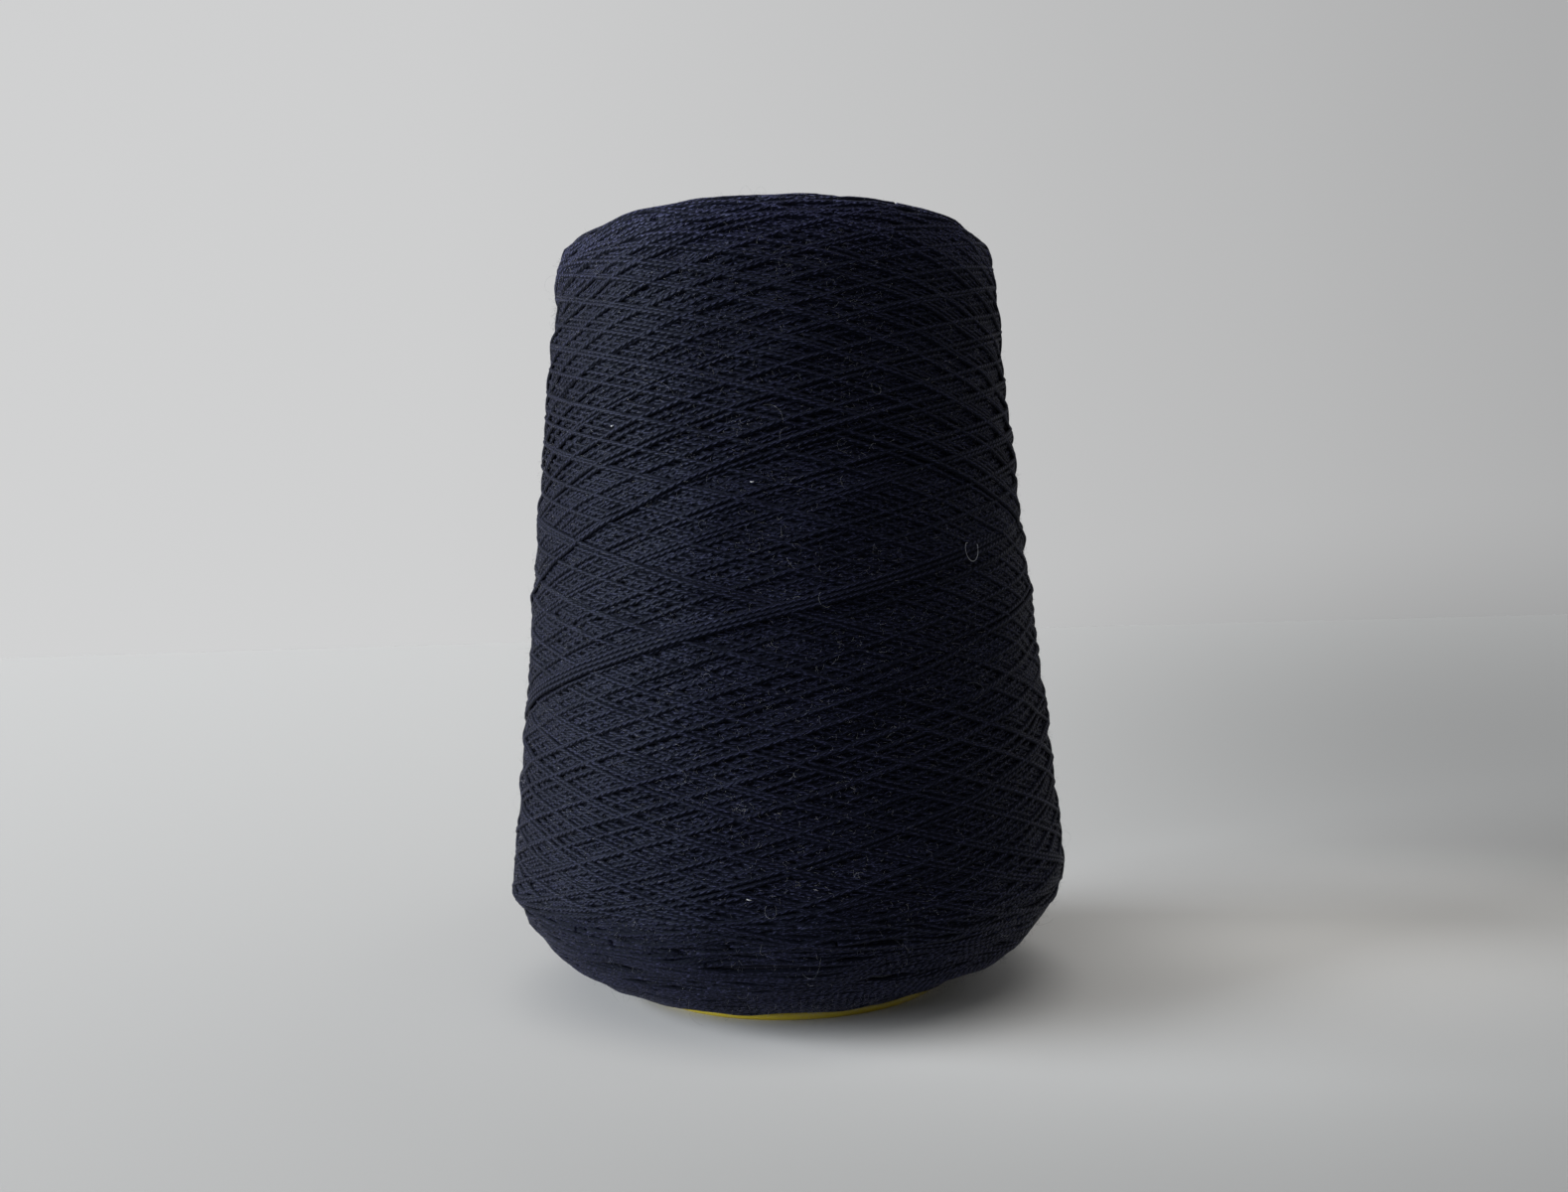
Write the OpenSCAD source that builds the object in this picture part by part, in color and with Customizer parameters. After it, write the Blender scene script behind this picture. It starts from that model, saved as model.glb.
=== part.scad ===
// Cone of knitting yarn: a moulded plastic cone that carries a cross-wound package of yarn.
// Millimetres, +Z up along the cone's axis, origin at the centre of the foot.

/* [Cone] */
// Length of the cone from its foot to its nose
cone_length = 170; // [150:1:185]
// Diameter over the bead at the foot
cone_base_d = 69; // [66:0.5:72]
// Half angle of the taper in degrees, 5 degrees 57 minutes
cone_half_angle = 5.95; // [5.4:0.05:6.2]
// Thickness of the conical wall
cone_wall = 1.6; // [1.2:0.1:2.2]
// Height of the round bead at the foot
bead_h = 2; // [1.6:0.1:2.6]
// How far the bead stands out from the taper
bead_out = 0.3; // [0.2:0.1:0.8]
// Depth of the groove that holds the starting end of the yarn
tail_groove_depth = 1.35; // [1.3:0.05:1.6]
// Wall behind that groove
foot_wall = 1; // [0.8:0.1:1.4]
// Width of the notch in the foot that traps the starting end
notch_w = 1.6; // [1.2:0.1:2.4]

/* [Nose] */
// Diameter of the hole through the nose
nose_bore_d = 27; // [25:0.5:28]
// Length of the thick ring round the nose hole
nose_ring_l = 10; // [8:0.5:14]
// Radius of the smooth edge over which the yarn is drawn off
nose_round = 1.5; // [1:0.1:1.6]

/* [Grip] */
// Number of ribs down the inside of the cone
rib_count = 8; // [4:1:12]
// Thickness of a rib
rib_t = 1.2; // [0.8:0.1:1.8]
// Height of a rib above the inner wall
rib_h = 1.4; // [0.8:0.1:1.6]
// Spacing of the shallow grip rings round the outside
grip_pitch = 5; // [4:0.5:10]
// Depth of a grip ring
grip_depth = 0.25; // [0.1:0.05:0.4]

/* [Yarn] */
// Diameter of the two-ply yarn
yarn_d = 1.1; // [0.9:0.05:1.2]
// Turns of the starting end that lie in the groove at the foot
tail_turns = 3; // [1:1:4]
// Up-and-down pairs of strokes that are drawn on the surface
wrap_pairs = 12; // [8:1:14]
// Whole turns that the yarn makes in one pair of strokes
wrap_turns = 3; // [2:1:4]

/* [Package] */
// Largest diameter of the wound body
package_d = 119; // [112:1:124]
// Half angle of the wound body's side in degrees
package_half_angle = 5.2; // [4.6:0.1:6.2]
// Height of the largest diameter above the foot
belly_z = 26; // [20:1:32]
// Height at which the wound body starts above the foot
package_z = 2.4; // [2.2:0.1:3.4]
// Fullness of the base shoulder: 1 is an ellipse, more is flatter
base_fullness = 1.2; // [1:0.05:1.4]
// Drop from the crest of the wound body to its nose shoulder
shoulder_drop = 7; // [6:0.5:12]
// Fullness of the nose shoulder: 1 is an ellipse, more is flatter
nose_fullness = 1.6; // [1.2:0.05:1.8]
// Height of the crest above the nose of the cone
crest_rise = 2; // [1:0.1:5]
// Radius of the crest round the dished nose end
crest_r = 27; // [25:0.5:31]
// How far below the nose of the cone the dish meets the cone
dish_drop = 4; // [3:0.5:7]

/* [Hidden] */
$fn = 96;

// Clearances
seat_gap = 0.05; // between the yarn and what it lies on
wrap_gap = 0.2; // between the surface wraps and what they lie on
eps = 0.01; // overlap of cutters past a face

// Starting tail
tail_pitch = yarn_d + seat_gap;
tail_steps = 36; // rings in one turn

// Cone
taper_r = cone_base_d / 2 - bead_out;
nose_z = cone_length;
bore_r = nose_bore_d / 2;
nose_fillet = min(nose_round, (cone_r(nose_z) - bore_r) / 2 - eps);
ring_z = nose_z - nose_ring_l;
ring_blend = 3; // height of the slope from the inner wall to the nose ring
foot_chamfer = 0.6;
groove_flat = bead_h + seat_gap + (tail_turns + 1) * tail_pitch;
groove_top = groove_flat + tail_groove_depth / 2;
groove_r = cone_r(groove_top) - tail_groove_depth;
seat_r = groove_r - foot_wall;
inner_z = groove_top + cone_wall;
grip_start = groove_top + grip_pitch;
grip_end = nose_z - dish_drop - grip_pitch;
grip_half = 0.5; // half the width of a grip ring
rib_start = inner_z;
rib_slope = 1.5; // rise over run of the slope at a rib's lower end
notch_h = bead_h + tail_pitch;
tail_r = groove_r + seat_gap + yarn_d / 2 + groove_r * (1 - cos(180 / tail_steps));

// Wound body
belly_r = package_d / 2;
crest_z = nose_z + crest_rise;
shoulder_z = crest_z - shoulder_drop;
shoulder_r = belly_r - (shoulder_z - belly_z) * tan(package_half_angle);
dish_z = nose_z - dish_drop;
base_inner_r = cone_r(package_z) + seat_gap;
dish_inner_r = cone_r(dish_z) + seat_gap;
ridge_depth = yarn_d / 3;
end_points = 36; // points along each shoulder before the ridges are cut

// Surface wraps
yarn_sides = 4;
wrap_steps = 45; // rings in one stroke
wrap_total = 2 * wrap_pairs * wrap_steps;
wrap_low_z = belly_z * 0.62;
wrap_high_z = shoulder_z - yarn_d / 2;
turn_sharpness = 0.985; // how tightly a stroke turns back: 1 is a point
level_gain = 28; // how fast the yarn changes layer as it turns back
step_angle = 180 * (wrap_turns + 1 / wrap_pairs) / wrap_steps;
chord_sag = belly_r * (1 - cos(step_angle / 2));
layer_step = yarn_d + chord_sag + wrap_gap;
first_layer = yarn_d / 2 + chord_sag + wrap_gap;

// Radius of the cone's outer taper at a height.
function cone_r(z) = taper_r - z * tan(cone_half_angle);

// Points on an arc, for a profile.
function arc(centre, r, from, to, n) =
    [for (i = [0:n]) let (a = from + (to - from) * i / n) centre + r * [cos(a), sin(a)]];

// Quarter of a superellipse from the flat end face to the side.
function shoulder(end, side, fullness) =
    [for (i = [0:end_points]) let (a = 90 * i / end_points)
        [end[0] + (side[0] - end[0]) * pow(sin(a), fullness),
         side[1] + (end[1] - side[1]) * pow(cos(a), fullness)]];

// Running length at each point of an outline.
function run(p) =
    [for (i = 0, s = 0; i < len(p);
          s = s + (i + 1 < len(p) ? norm(p[i + 1] - p[i]) : 0), i = i + 1) s];

function column(keys, p, k) = [for (i = [0:len(p) - 1]) [keys[i], p[i][k]]];

function reversed(p) = [for (i = [len(p) - 1:-1:0]) p[i]];

// Outline cut by one shallow groove between each two turns of yarn, on its left side.
function ridged(p) =
    let (s = run(p), rs = column(s, p, 0), zs = column(s, p, 1), total = s[len(s) - 1],
         n = round(total / yarn_d), pitch = total / n)
    [for (j = [0:4 * n])
        let (t = j * pitch / 4, h = pitch / 8, a = max(0, t - h), b = min(total, t + h),
             d = [lookup(b, rs) - lookup(a, rs), lookup(b, zs) - lookup(a, zs)],
             inward = [-d[1], d[0]] / norm(d))
        [lookup(t, rs), lookup(t, zs)] + inward * ridge_depth * (1 - abs(sin(45 * j)))];

base_end = shoulder([base_inner_r, package_z], [belly_r, belly_z], base_fullness);
nose_end = reversed(shoulder([crest_r, crest_z], [shoulder_r, shoulder_z], nose_fullness));
dish = arc([0, 0], 1, 90, 180, 12);
dish_end = [for (p = dish)
    [crest_r + (crest_r - dish_inner_r) * p[0], dish_z + (crest_z - dish_z) * p[1]]];

// Side of the wound body as radius against height, for the wraps to follow.
side_points = concat(base_end, nose_end);
side_r = [for (p = side_points) [p[1], p[0]]];

function body_r(z) = lookup(z, side_r);
function body_slope(z) = (body_r(z + 0.5) - body_r(z - 0.5));

// Centre of the yarn at one step of the winding.
function stroke(i) = -90 + 180 * i / wrap_steps;
function wave(a) = asin(turn_sharpness * sin(a)) / asin(turn_sharpness);
function level(a) = (1 + max(-1, min(1, level_gain * cos(a)))) / 2;
function wrap_z(i) =
    (wrap_high_z + wrap_low_z) / 2 + (wrap_high_z - wrap_low_z) / 2 * wave(stroke(i));
function wrap_normal(i) =
    let (m = body_slope(wrap_z(i)), n = [1, -m] / norm([1, m]), a = step_angle * i)
    [n[0] * cos(a), n[0] * sin(a), n[1]];
function wrap_point(i) =
    let (z = wrap_z(i), a = step_angle * i, off = first_layer + layer_step * level(stroke(i)))
    [body_r(z) * cos(a), body_r(z) * sin(a), z] + off * wrap_normal(i);

// Centre of the yarn at one step of the starting tail, from the notch at the back.
function tail_point(i) =
    let (a = 90 + 360 * i / tail_steps)
    [tail_r * cos(a), tail_r * sin(a), bead_h + seat_gap + yarn_d / 2 + tail_pitch * i / tail_steps];
function tail_normal(i) =
    let (a = 90 + 360 * i / tail_steps) [cos(a), sin(a), 0];

// One ring of the yarn's skin round a point, square to the run t, with a corner along n.
function yarn_ring(point, t, n) =
    let (b = cross(t, n) / norm(t))
    [for (j = [0:yarn_sides - 1]) let (a = 360 * j / yarn_sides)
        point + yarn_d / 2 * (cos(a) * n + sin(a) * b)];

module cone_shell() {
    grips = [for (z = [grip_start:grip_pitch:grip_end])
        each [[cone_r(z - grip_half), z - grip_half], [cone_r(z) - grip_depth, z],
              [cone_r(z + grip_half), z + grip_half]]];
    bead = arc([cone_base_d / 2 - bead_h / 2, bead_h / 2], bead_h / 2, -90, 90, 10);
    fillet_z = nose_z - nose_fillet;
    nose = arc([cone_r(fillet_z) - nose_fillet, fillet_z], nose_fillet, 0, 90, 8);
    lip = arc([bore_r + nose_fillet, fillet_z], nose_fillet, 90, 180, 8);
    rotate_extrude()
        polygon(concat(
            [[seat_r + foot_chamfer, 0]],
            bead,
            [[groove_r, bead_h], [groove_r, groove_flat], [cone_r(groove_top), groove_top]],
            grips,
            nose,
            lip,
            [[bore_r, ring_z],
             [cone_r(ring_z - ring_blend) - cone_wall, ring_z - ring_blend],
             [cone_r(inner_z) - cone_wall, inner_z],
             [seat_r, groove_top],
             [seat_r, foot_chamfer]]));
}

module rib() {
    root = cone_wall / 2;
    inner = cone_wall + rib_h;
    full_z = rib_start + rib_slope * (inner - root);
    top_z = ring_z + root;
    rotate([90, 0, 0])
        linear_extrude(height = rib_t, center = true)
            polygon([
                [cone_r(rib_start) - root, rib_start],
                [cone_r(top_z) - root, top_z],
                [cone_r(top_z) - inner, top_z],
                [cone_r(full_z) - inner, full_z]]);
}

// Moulded cone with its nose ring, inner ribs, grip rings and the groove and notch for the tail.
module cone() {
    color("gold")
        difference() {
            union() {
                cone_shell();
                for (i = [0:rib_count - 1])
                    rotate([0, 0, 360 * i / rib_count])
                        rib();
            }
            translate([-notch_w / 2, seat_r - foot_wall, -eps])
                cube([notch_w, cone_base_d / 2 - seat_r + 2 * foot_wall, notch_h + eps]);
        }
}

// Closed skin through rings of corners, each ring with as many corners as the yarn has sides.
module yarn_run(points) {
    sides = yarn_sides;
    rings = len(points) / sides - 1;
    walls = [for (i = [0:rings - 1], j = [0:sides - 1])
        let (a = i * sides + j, b = i * sides + (j + 1) % sides)
        each [[a, b, b + sides], [a, b + sides, a + sides]]];
    start_cap = [for (j = [sides - 1:-1:0]) j];
    end_cap = [for (j = [0:sides - 1]) rings * sides + j];
    polyhedron(points = points, faces = concat(walls, [start_cap, end_cap]));
}

// Starting end of the yarn, wound into the groove at the foot from the notch.
module starting_tail() {
    color("midnightblue")
        yarn_run([for (i = [0:tail_turns * tail_steps])
            each yarn_ring(tail_point(i), tail_point(i + 1) - tail_point(i - 1), tail_normal(i))]);
}

// Inner layers of the winding, with the turns that show on both end faces.
module yarn_package() {
    color("midnightblue")
        rotate_extrude()
            polygon(concat(ridged(base_end), ridged(nose_end), ridged(dish_end)));
}

// Last strokes of the yarn, crossing from end to end in two layers.
module outer_wraps() {
    color("navy")
        yarn_run([for (i = [1:wrap_total - 2])
            each yarn_ring(wrap_point(i), wrap_point(i + 1) - wrap_point(i - 1), wrap_normal(i))]);
}

cone();
starting_tail();
yarn_package();
outer_wraps();
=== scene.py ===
"""A cone of navy yarn: the wound yarn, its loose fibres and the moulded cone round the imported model.

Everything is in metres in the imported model's own frame, with +Z up along the cone's axis.
"""

import logging
import math
from dataclasses import dataclass, field
from enum import Enum
from typing import Any, Callable, Iterable, Sequence

import bpy
import numpy as np
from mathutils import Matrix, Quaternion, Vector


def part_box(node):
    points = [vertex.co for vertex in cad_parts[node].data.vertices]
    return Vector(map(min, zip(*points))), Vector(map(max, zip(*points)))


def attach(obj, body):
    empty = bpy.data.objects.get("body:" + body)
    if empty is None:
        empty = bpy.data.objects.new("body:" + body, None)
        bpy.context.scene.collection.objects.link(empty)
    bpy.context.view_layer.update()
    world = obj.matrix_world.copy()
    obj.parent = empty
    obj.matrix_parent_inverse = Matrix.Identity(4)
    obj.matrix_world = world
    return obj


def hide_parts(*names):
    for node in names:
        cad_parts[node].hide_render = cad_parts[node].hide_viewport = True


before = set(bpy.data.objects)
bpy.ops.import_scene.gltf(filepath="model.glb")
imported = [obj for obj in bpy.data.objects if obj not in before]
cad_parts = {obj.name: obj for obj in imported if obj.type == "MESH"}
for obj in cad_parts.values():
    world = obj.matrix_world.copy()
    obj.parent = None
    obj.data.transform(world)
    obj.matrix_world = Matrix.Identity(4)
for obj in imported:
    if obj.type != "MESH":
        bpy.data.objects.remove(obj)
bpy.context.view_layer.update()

LOG = logging.getLogger("cone_of_yarn")
BODY = "root"
MM = 0.001
TURN = 2 * math.pi
YARN_RADIUS = 0.54 * MM
EYE = (0.0, -0.2932, 0.0808)

Array = np.ndarray
Numbers = Sequence[float]


# ---- Shader building ----


def math_node(operation: str, reflected: bool = False) -> Callable[..., "Value"]:
    """Makes a method of Value that adds one Math node.

    Args:
        operation: What the node does.
        reflected: Whether the value itself is the last operand.

    Returns:
        The method.
    """

    def method(value: "Value", *others: "Input") -> "Value":
        """Adds the node and returns its result."""
        operands = (*others, value) if reflected else (value, *others)
        return value.kit.add("ShaderNodeMath", {"operation": operation}, dict(enumerate(operands)))

    return method


class Value:
    """A shader socket that takes part in Python arithmetic and adds its Math nodes."""

    __add__ = __radd__ = math_node("ADD")
    __sub__ = math_node("SUBTRACT")
    __rsub__ = math_node("SUBTRACT", reflected=True)
    __mul__ = __rmul__ = math_node("MULTIPLY")
    __truediv__ = math_node("DIVIDE")
    __rtruediv__ = math_node("DIVIDE", reflected=True)
    __pow__ = math_node("POWER")
    __rpow__ = math_node("POWER", reflected=True)
    sin = math_node("SINE")
    cos = math_node("COSINE")
    abs = math_node("ABSOLUTE")
    larger = math_node("MAXIMUM")
    smaller = math_node("MINIMUM")
    exceeds = math_node("GREATER_THAN")
    _square_root = math_node("SQRT")

    def __init__(self, kit: "NodeKit", socket: bpy.types.NodeSocket) -> None:
        self.kit = kit
        self.socket = socket

    def root(self) -> "Value":
        """Square root, with what is below zero taken as zero."""
        return self.larger(0.0)._square_root()

    def clamped(self) -> "Value":
        """The value held between 0 and 1."""
        return self.larger(0.0).smaller(1.0)


Input = Value | float | Numbers


class NodeKit:
    """Adds shader nodes to one material's or world's tree."""

    def __init__(self, tree: bpy.types.NodeTree) -> None:
        """Starts on a tree, with its own nodes cleared."""
        self.tree = tree
        tree.nodes.clear()

    def add(
        self,
        kind: str,
        settings: dict[str, Any] | None = None,
        inputs: dict[int | str, Input] | None = None,
        output: int | str = 0,
    ) -> Value:
        """Adds a node, sets it, fills its sockets and wraps one output.

        Args:
            kind: The node's type name.
            settings: Attributes to set first. "stops" holds a ramp's (position, colour) pairs.
            inputs: Values or wrapped sockets, by input name or number.
            output: The output to wrap, by name or number.

        Returns:
            The wrapped output.
        """
        node = self.tree.nodes.new(kind)
        for name, setting in (settings or {}).items():
            if name == "stops":
                self._set_stops(node.color_ramp, setting)
            else:
                setattr(node, name, setting)
        for name, given in (inputs or {}).items():
            if isinstance(given, Value):
                self.tree.links.new(given.socket, node.inputs[name])
            else:
                node.inputs[name].default_value = given
        return Value(self, node.outputs[output])

    @staticmethod
    def _set_stops(ramp: bpy.types.ColorRamp, stops: Iterable[tuple[float, Numbers]]) -> None:
        """Gives a ramp exactly these stops.

        Args:
            ramp: The ramp to set.
            stops: Its positions and colours.
        """
        stops = list(stops)
        while len(ramp.elements) < len(stops):
            ramp.elements.new(1.0)
        for element, (position, colour) in zip(ramp.elements, stops):
            element.position = position
            element.color = (*colour, 1.0)

    def mix(self, share: Input, first: Input, second: Input, blend: str = "MIX") -> Value:
        """Mixes two colours.

        Args:
            share: How much of the second colour.
            first: A colour or wrapped socket.
            second: A colour or wrapped socket.
            blend: The blend type.

        Returns:
            The mixed colour.
        """
        first, second = (c if isinstance(c, Value) else (*c, 1.0) for c in (first, second))
        settings = {"data_type": "RGBA", "blend_type": blend}
        return self.add("ShaderNodeMix", settings, {0: share, 6: first, 7: second}, output=2)

    def dimmed(self, colour: Value, level: Value) -> Value:
        """A colour multiplied by a level."""
        grey = self.add("ShaderNodeCombineColor", None, {0: level, 1: level, 2: level})
        return self.mix(1.0, colour, grey, "MULTIPLY")

    def vector(self, operation: str, *inputs: Input) -> Value:
        """Adds a Vector Math node. Its result is a number for a distance and else a vector."""
        output = 1 if operation == "DISTANCE" else 0
        return self.add("ShaderNodeVectorMath", {"operation": operation}, dict(enumerate(inputs)), output)

    def axes(self, vector: Value) -> list[Value]:
        """The three parts of a vector."""
        split = self.add("ShaderNodeSeparateXYZ", None, {"Vector": vector})
        return [Value(self, output) for output in split.socket.node.outputs]

    def noise(self, vector: Value, scale: float, detail: float = 2.0, rough: float = 0.5) -> Value:
        """Noise about 0.5 at a place.

        Args:
            vector: Where to read it.
            scale: Repeats in a unit of the vector.
            detail: Octaves.
            rough: How much the finer octaves weigh.

        Returns:
            The noise value.
        """
        inputs = {"Vector": vector, "Scale": scale, "Detail": detail, "Roughness": rough}
        return self.add("ShaderNodeTexNoise", None, inputs)

    def surface(self, inputs: dict[str, Input], height: Value | None = None, strength: float = 1.0) -> None:
        """Ends a material with a principled surface.

        Args:
            inputs: Values or wrapped sockets for the surface, by name.
            height: Its relief in metres, where it has one.
            strength: How strongly the relief shows.
        """
        if height is not None:
            relief = {"Strength": strength, "Distance": 1.0, "Height": height}
            inputs = {**inputs, "Normal": self.add("ShaderNodeBump", None, relief)}
        self.end("ShaderNodeOutputMaterial", self.add("ShaderNodeBsdfPrincipled", None, inputs))

    def end(self, kind: str, shader: Value) -> None:
        """Adds the tree's output and links a shader to it."""
        output = self.tree.nodes.new(kind)
        self.tree.links.new(shader.socket, output.inputs["Surface"])


def new_material(name: str) -> tuple[bpy.types.Material, NodeKit]:
    """Makes an empty node material.

    Args:
        name: The material's name.
    """
    material = bpy.data.materials.new(name)
    material.use_nodes = True
    return material, NodeKit(material.node_tree)


def soft_spot(away: Value, reach: float) -> Value:
    """1 at a spot, falling smoothly to 0 at its reach."""
    near = (1.0 - away * (1 / reach)).clamped()
    return near * near * (3.0 - near * 2.0)


# ---- Finishes ----


@dataclass(frozen=True)
class YarnFinish:
    """Dyed two-ply yarn, read from the map that each strand carries, with painted shade in the grooves
    between its plies and painted highlights on their crests.
    """

    dye: Numbers = (0.0020, 0.0020, 0.0050)
    # Painted shade: the darker colour in the grooves between the plies and along the strands' edges.
    groove_shade_colour: Numbers = (0.0012, 0.0012, 0.0030)
    # Painted highlight: the pale colour of bright streaks on the ply crests, standing in for light glinting
    # off them.
    crest_highlight_colour: Numbers = (0.058, 0.062, 0.134)
    crest_share: float = 0.9
    fibre_share: float = 0.6
    groove_shade_cut: float = 0.15
    highlight_contrast: float = 3.2
    highlight_cut: float = 1.45
    highlight_crest_power: float = 2.5
    twist_pitch: float = 3.2
    ply_relief: float = 0.55
    ply_offset: float = 0.3
    crest_width: float = 0.42
    fibre_depth: float = 0.05 * MM
    fibre_scale: float = 3.4
    fibre_stretch: float = 0.45
    fibre_roughness: float = 0.62
    roughness: float = 0.5
    groove_roughness: float = 0.2
    specular: float = 0.09
    specular_tint: Numbers = (0.50, 0.64, 1.0, 1.0)
    sheen: float = 0.012
    sheen_roughness: float = 0.45
    sheen_tint: Numbers = (0.45, 0.55, 1.0, 1.0)

    def material(self) -> bpy.types.Material:
        """Builds the strand material.

        The map's first number runs once round the strand from its outward side, and its
        second is the length in millimetres, so the plies wind along each strand at true scale.

        Returns:
            The material.
        """
        material, kit = new_material("navy_yarn")
        around, along, _ = kit.axes(kit.add("ShaderNodeUVMap", {"uv_map": StrandMesh.MAP}))
        angle = around * TURN
        across = angle.sin()
        crown, crest = self._plies(across, along * (TURN / self.twist_pitch))
        fibres = self._fibre_noise(kit, angle, along)
        # The shade attribute: random tone per strand times painted light on the nose shoulder and base.
        shade = kit.add("ShaderNodeAttribute", {"attribute_name": StrandMesh.SHADE}, output="Fac")
        # Share of the dye over the painted groove shade, low away from the ply crests.
        unshaded_share = (crest * self.crest_share + fibres * self.fibre_share - self.groove_shade_cut).clamped()
        # Painted highlights: pale streaks where the fibre noise is high near a ply's crest.
        painted_highlights = (fibres * self.highlight_contrast - self.highlight_cut).clamped() * crest ** self.highlight_crest_power
        colour = kit.mix(painted_highlights, kit.mix(unshaded_share, self.groove_shade_colour, self.dye), self.crest_highlight_colour)
        bare = (1.0 - across * across).root()
        height = (crown - bare) * (YARN_RADIUS * self.ply_relief) + fibres * self.fibre_depth
        inputs = {
            "Base Color": kit.dimmed(colour, shade),
            "Roughness": self.roughness + (1.0 - crest) * self.groove_roughness,
            "Diffuse Roughness": 1.0,
            "Specular IOR Level": self.specular,
            "Specular Tint": self.specular_tint,
            "Sheen Weight": self.sheen,
            "Sheen Roughness": self.sheen_roughness,
            "Sheen Tint": self.sheen_tint,
        }
        kit.surface(inputs, height)
        return material

    def _plies(self, across: Value, turn: Value) -> tuple[Value, Value]:
        """Two round plies that wind round each other.

        Args:
            across: Place across the strand, from -1 to 1.
            turn: How far the plies have turned.

        Returns:
            The height over the strand's middle, where the strand's radius is 1, and how near
            the topmost ply's crest the place is, from 0 to 1.
        """
        aside, lift = turn.sin() * self.ply_offset, turn.cos() * self.ply_offset
        one, other = across + aside, across - aside
        ply_square = (1 - self.ply_offset) ** 2
        first = (ply_square - one * one).root()
        second = (ply_square - other * other).root()
        over = (first + lift).exceeds(second - lift)
        beside = other + (one - other) * over
        crest = (1.0 - beside * beside * (1 / self.crest_width ** 2)).clamped()
        return (first + lift).larger(second - lift), crest

    def _fibre_noise(self, kit: NodeKit, angle: Value, along: Value) -> Value:
        """Streaks that lie along the strand, from noise on a circle drawn out along it.

        Args:
            angle: The angle round the strand.
            along: The length along it in millimetres.

        Returns:
            The noise value.
        """
        inputs = {0: angle.cos(), 1: angle.sin(), 2: along * self.fibre_stretch}
        turned = kit.add("ShaderNodeCombineXYZ", None, inputs)
        return kit.noise(turned, self.fibre_scale, detail=3.0, rough=self.fibre_roughness)


@dataclass(frozen=True)
class CoreFinish:
    """Packed yarn deep inside the winding, seen only through gaps."""

    dye: Numbers = (0.020, 0.021, 0.042)
    # Painted shade: the darker colour between the packed turns.
    gap_shade_colour: Numbers = (0.003, 0.0035, 0.006)
    pitch: float = 1.1 * MM
    depth: float = 0.35 * MM
    wisp_scale: float = 900.0
    wisp_share: float = 0.3

    def material(self) -> bpy.types.Material:
        """Builds the core's material, with rounded turns at the yarn's pitch and painted shade between
        them, broken up by noise.

        Returns:
            The material.
        """
        material, kit = new_material("packed_yarn")
        place = kit.add("ShaderNodeTexCoord", output="Object")
        turns = (kit.axes(place)[2] * (TURN / 2 / self.pitch)).sin().abs()
        wisps = kit.noise(place, self.wisp_scale, detail=3.0)
        colour = kit.mix(turns * wisps, self.gap_shade_colour, self.dye)
        relief = turns * self.depth + wisps * (self.depth * self.wisp_share)
        kit.surface({"Base Color": colour, "Roughness": 0.95, "Specular IOR Level": 0.1}, relief)
        return material


@dataclass(frozen=True)
class FibreFinish:
    """Single fibres that stand out of the yarn."""

    name: str
    colour: Numbers
    sheen: float = 0.6
    dark_share: float = 0.5
    patch_scale: float = 400.0

    def material(self) -> bpy.types.Material:
        """Builds the material, paler here and there along the fibres.

        Returns:
            The material.
        """
        material, kit = new_material(self.name)
        patches = kit.noise(kit.add("ShaderNodeTexCoord", output="Object"), self.patch_scale, detail=2.0)
        colour = kit.mix(patches, [c * self.dark_share for c in self.colour], self.colour)
        kit.surface({"Base Color": colour, "Roughness": 0.7, "Sheen Weight": self.sheen})
        return material


@dataclass(frozen=True)
class MouldedFinish:
    """Yellow polypropylene, slightly glossy, with flow marks and faint scuffs."""

    # Both yellows are kept well below the plastic's own colour: painted shade for the shade that the yarn's
    # overhang casts on the rim.
    colour: Numbers = (0.41, 0.325, 0.024)
    flow_colour: Numbers = (0.36, 0.28, 0.016)
    flow_scale: float = 60.0
    flow_stretch: Numbers = (1.0, 1.0, 0.18)
    grain_scale: float = 1800.0
    grain_depth: float = 0.02 * MM
    scuff_colour: Numbers = (0.60, 0.50, 0.15)
    scuff_scale: float = 260.0
    scuff_contrast: float = 6.0
    scuff_cut: float = 3.9
    scuff_share: float = 0.5
    scuff_depth: float = 0.03 * MM
    roughness: float = 0.3
    flow_roughness: float = 0.1
    scuff_roughness: float = 0.25

    def material(self) -> bpy.types.Material:
        """Builds the plastic's material on Object coordinates.

        Returns:
            The material.
        """
        material, kit = new_material("yellow_plastic")
        place = kit.add("ShaderNodeTexCoord", output="Object")
        long_way = kit.add("ShaderNodeMapping", None, {"Vector": place, "Scale": self.flow_stretch})
        flow = kit.noise(long_way, self.flow_scale, detail=3.0)
        grain = kit.noise(place, self.grain_scale, detail=2.0)
        marks = kit.noise(place, self.scuff_scale, detail=5.0, rough=0.7)
        scuffs = (marks * self.scuff_contrast - self.scuff_cut).clamped()
        colour = kit.mix(flow, self.flow_colour, self.colour)
        inputs = {
            "Base Color": kit.mix(scuffs * self.scuff_share, colour, self.scuff_colour),
            "Roughness": self.roughness + flow * self.flow_roughness + scuffs * self.scuff_roughness,
            "IOR": 1.49,
            "Subsurface Weight": 0.08,
            "Subsurface Radius": (0.004, 0.003, 0.001),
            "Subsurface Scale": 0.3,
        }
        kit.surface(inputs, grain * self.grain_depth + scuffs * self.scuff_depth, strength=0.6)
        return material


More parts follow.
